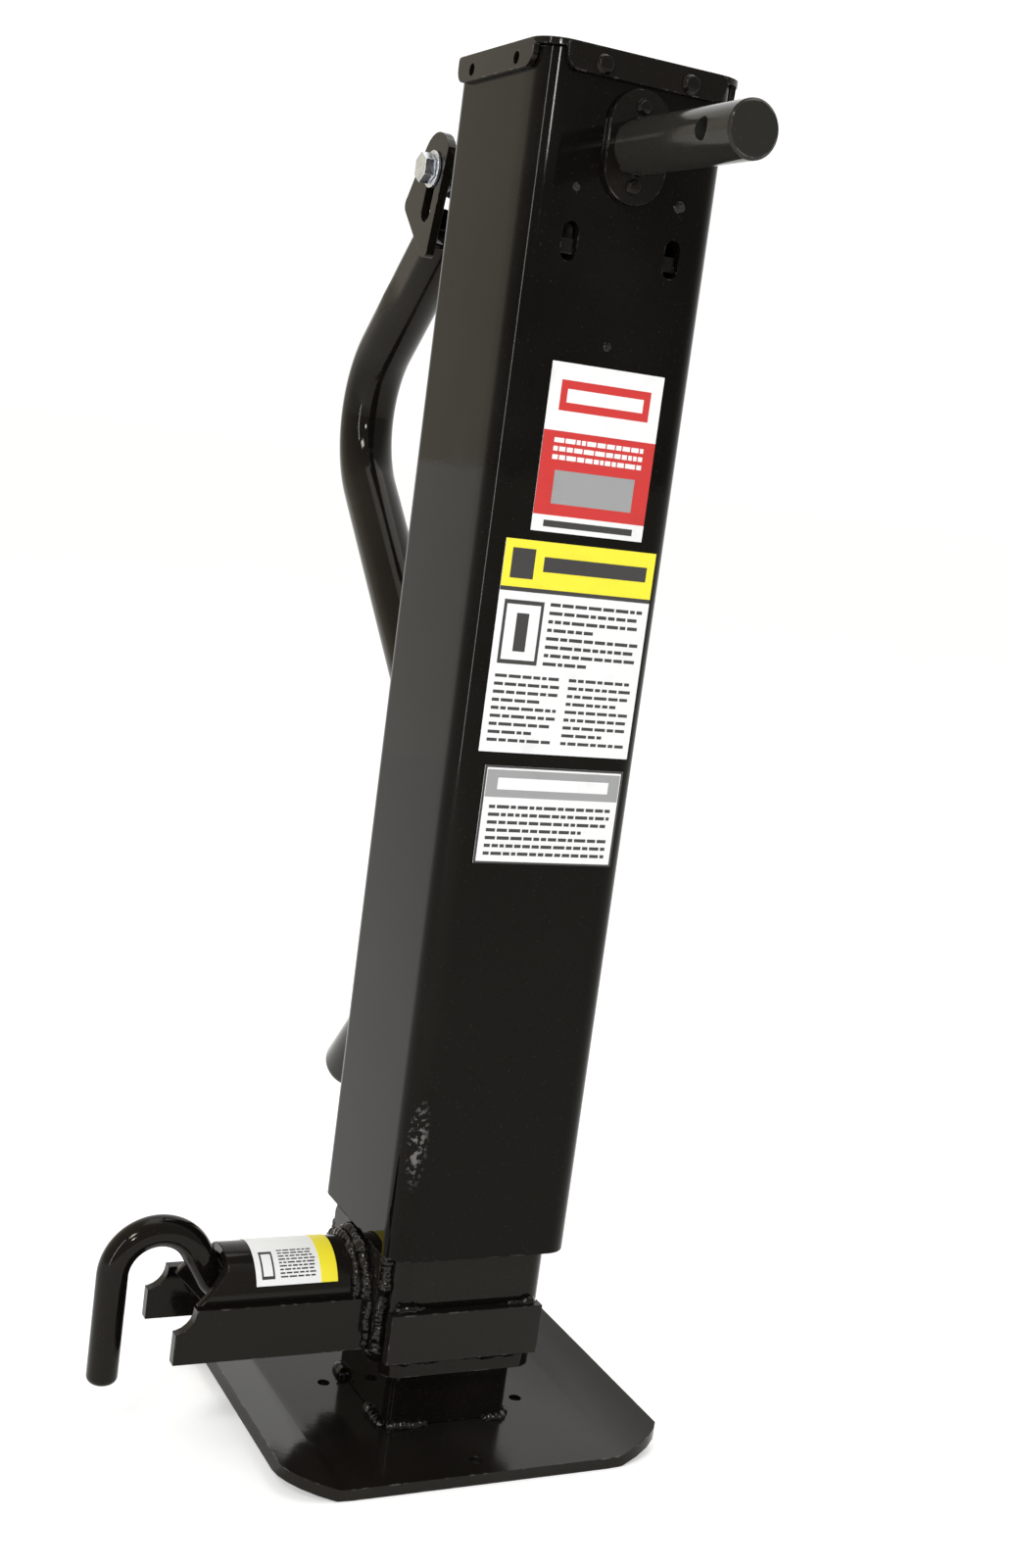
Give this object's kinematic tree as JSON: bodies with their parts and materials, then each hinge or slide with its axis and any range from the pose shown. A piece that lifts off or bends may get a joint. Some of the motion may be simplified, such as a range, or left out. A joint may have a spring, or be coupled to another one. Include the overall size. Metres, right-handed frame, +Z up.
{
  "type": "square drop-leg trailer jack",
  "caption": "Side-wind square trailer jack with a spring-return drop leg, foot plate, pull pin and folding crank handle.",
  "frame": {"origin": "centre of the foot plate's underside, leg and ram retracted", "axes": "+Z up along the tubes, -Y the face with the labels and the bare shaft end, -X the side with the pull pin, crank handle at +Y"},
  "size_m": [0.2918, 0.4159, 0.694],
  "materials": {
    "black_paint": "gloss black enamel over steel",
    "zinc_plate": "bright zinc plate",
    "bare_steel": "greased machined steel",
    "spring_steel": "oil-hardened wire",
    "bronze": "cast bronze",
    "labels": "printed vinyl film with plain colour blocks"
  },
  "bodies": {
    "housing": {"housing_tube": "black_paint", "top_cap": "black_paint", "cap_rivet_front_left": "black_paint", "cap_rivet_front_right": "black_paint", "cap_rivet_rear_left": "black_paint", "cap_rivet_rear_right": "black_paint", "front_bushing": "black_paint", "rear_bushing": "black_paint", "front_bushing_rivet_upper": "black_paint", "front_bushing_rivet_lower": "black_paint", "rear_bushing_rivet_upper": "black_paint", "rear_bushing_rivet_lower": "black_paint", "bearing_plate": "black_paint", "thrust_race_upper": "bare_steel", "thrust_ball_cage": "bronze", "label_rating": "labels", "label_instructions": "labels", "label_notice": "labels"},
    "screw": {"lead_screw": "bare_steel", "bevel_gear": "bare_steel", "gear_pin": "bare_steel", "thrust_race_lower": "bare_steel"},
    "shaft": {"cross_shaft": "black_paint", "bevel_pinion": "bare_steel", "pinion_pin": "bare_steel", "shaft_collar": "bare_steel", "collar_pin": "bare_steel"},
    "clevis_bolt": {"crank_bolt": "zinc_plate", "crank_nut": "zinc_plate", "crank_washer_left": "zinc_plate", "crank_washer_right": "zinc_plate"},
    "handle": {"handle_tube": "black_paint", "clevis_plate_left": "black_paint", "clevis_plate_right": "black_paint"},
    "ram": {"ram_tube": "black_paint", "nut_plate": "bare_steel", "lead_nut": "bronze", "spring_hanger": "bare_steel", "pin_doubler": "black_paint", "pin_tube": "black_paint", "pin_arm_front": "black_paint", "pin_arm_rear": "black_paint", "ram_band_front": "black_paint", "ram_band_rear": "black_paint", "pin_end_washer": "bare_steel", "label_pin": "labels"},
    "pin_carriage": {"pin_spring_collar": "bare_steel", "pin_spring": "spring_steel"},
    "pull_pin": {"pull_pin": "black_paint"},
    "drop_leg": {"drop_leg": "black_paint", "foot_plate": "black_paint", "spring_anchor": "bare_steel", "return_spring": "spring_steel"}
  },
  "joints": [
    {"name": "ram_slide", "type": "slide", "parent": "housing", "child": "ram", "axis": [0, 0, -1], "range_m": [0, 0.318]},
    {"name": "screw_spin", "type": "hinge", "parent": "housing", "child": "screw", "pos_m": [0, 0, 0.59], "axis": [0, 0, 1], "range_deg": [0, 18010]},
    {"name": "shaft_spin", "type": "hinge", "parent": "housing", "child": "shaft", "pos_m": [0, 0, 0.654], "axis": [0, 1, 0], "range_deg": [0, 27000]},
    {"name": "handle_fold", "type": "hinge", "parent": "shaft", "child": "clevis_bolt", "pos_m": [0, 0.144, 0.654], "axis": [1, 0, 0], "range_deg": [0, 100]},
    {"name": "handle_lift", "type": "slide", "parent": "clevis_bolt", "child": "handle", "axis": [0, -0.2394, 0.9709], "range_m": [0, 0.022]},
    {"name": "pin_turn", "type": "hinge", "parent": "pin_carriage", "child": "pull_pin", "pos_m": [-0.1, 0, 0.075], "axis": [1, 0, 0], "range_deg": [0, 90]},
    {"name": "pin_slide", "type": "slide", "parent": "ram", "child": "pin_carriage", "axis": [-1, 0, 0], "range_m": [0, 0.0165], "stiffness_N_per_m": 400, "springref_m": -0.01, "deforming": ["pin_spring"]},
    {"name": "leg_slide", "type": "slide", "parent": "ram", "child": "drop_leg", "axis": [0, 0, -1], "range_m": [0, 0.3302], "stiffness_N_per_m": 250, "springref_m": -0.3, "deforming": ["return_spring"]}
  ],
  "couplings": [
    {"joint": "screw_spin", "follows": "shaft_spin", "ratio": 0.66667},
    {"joint": "ram_slide", "follows": "shaft_spin", "m_per_rad": 0.00067376},
    {"joint": "pin_slide", "follows": "pin_turn", "m_per_rad": 0.010186}
  ]
}
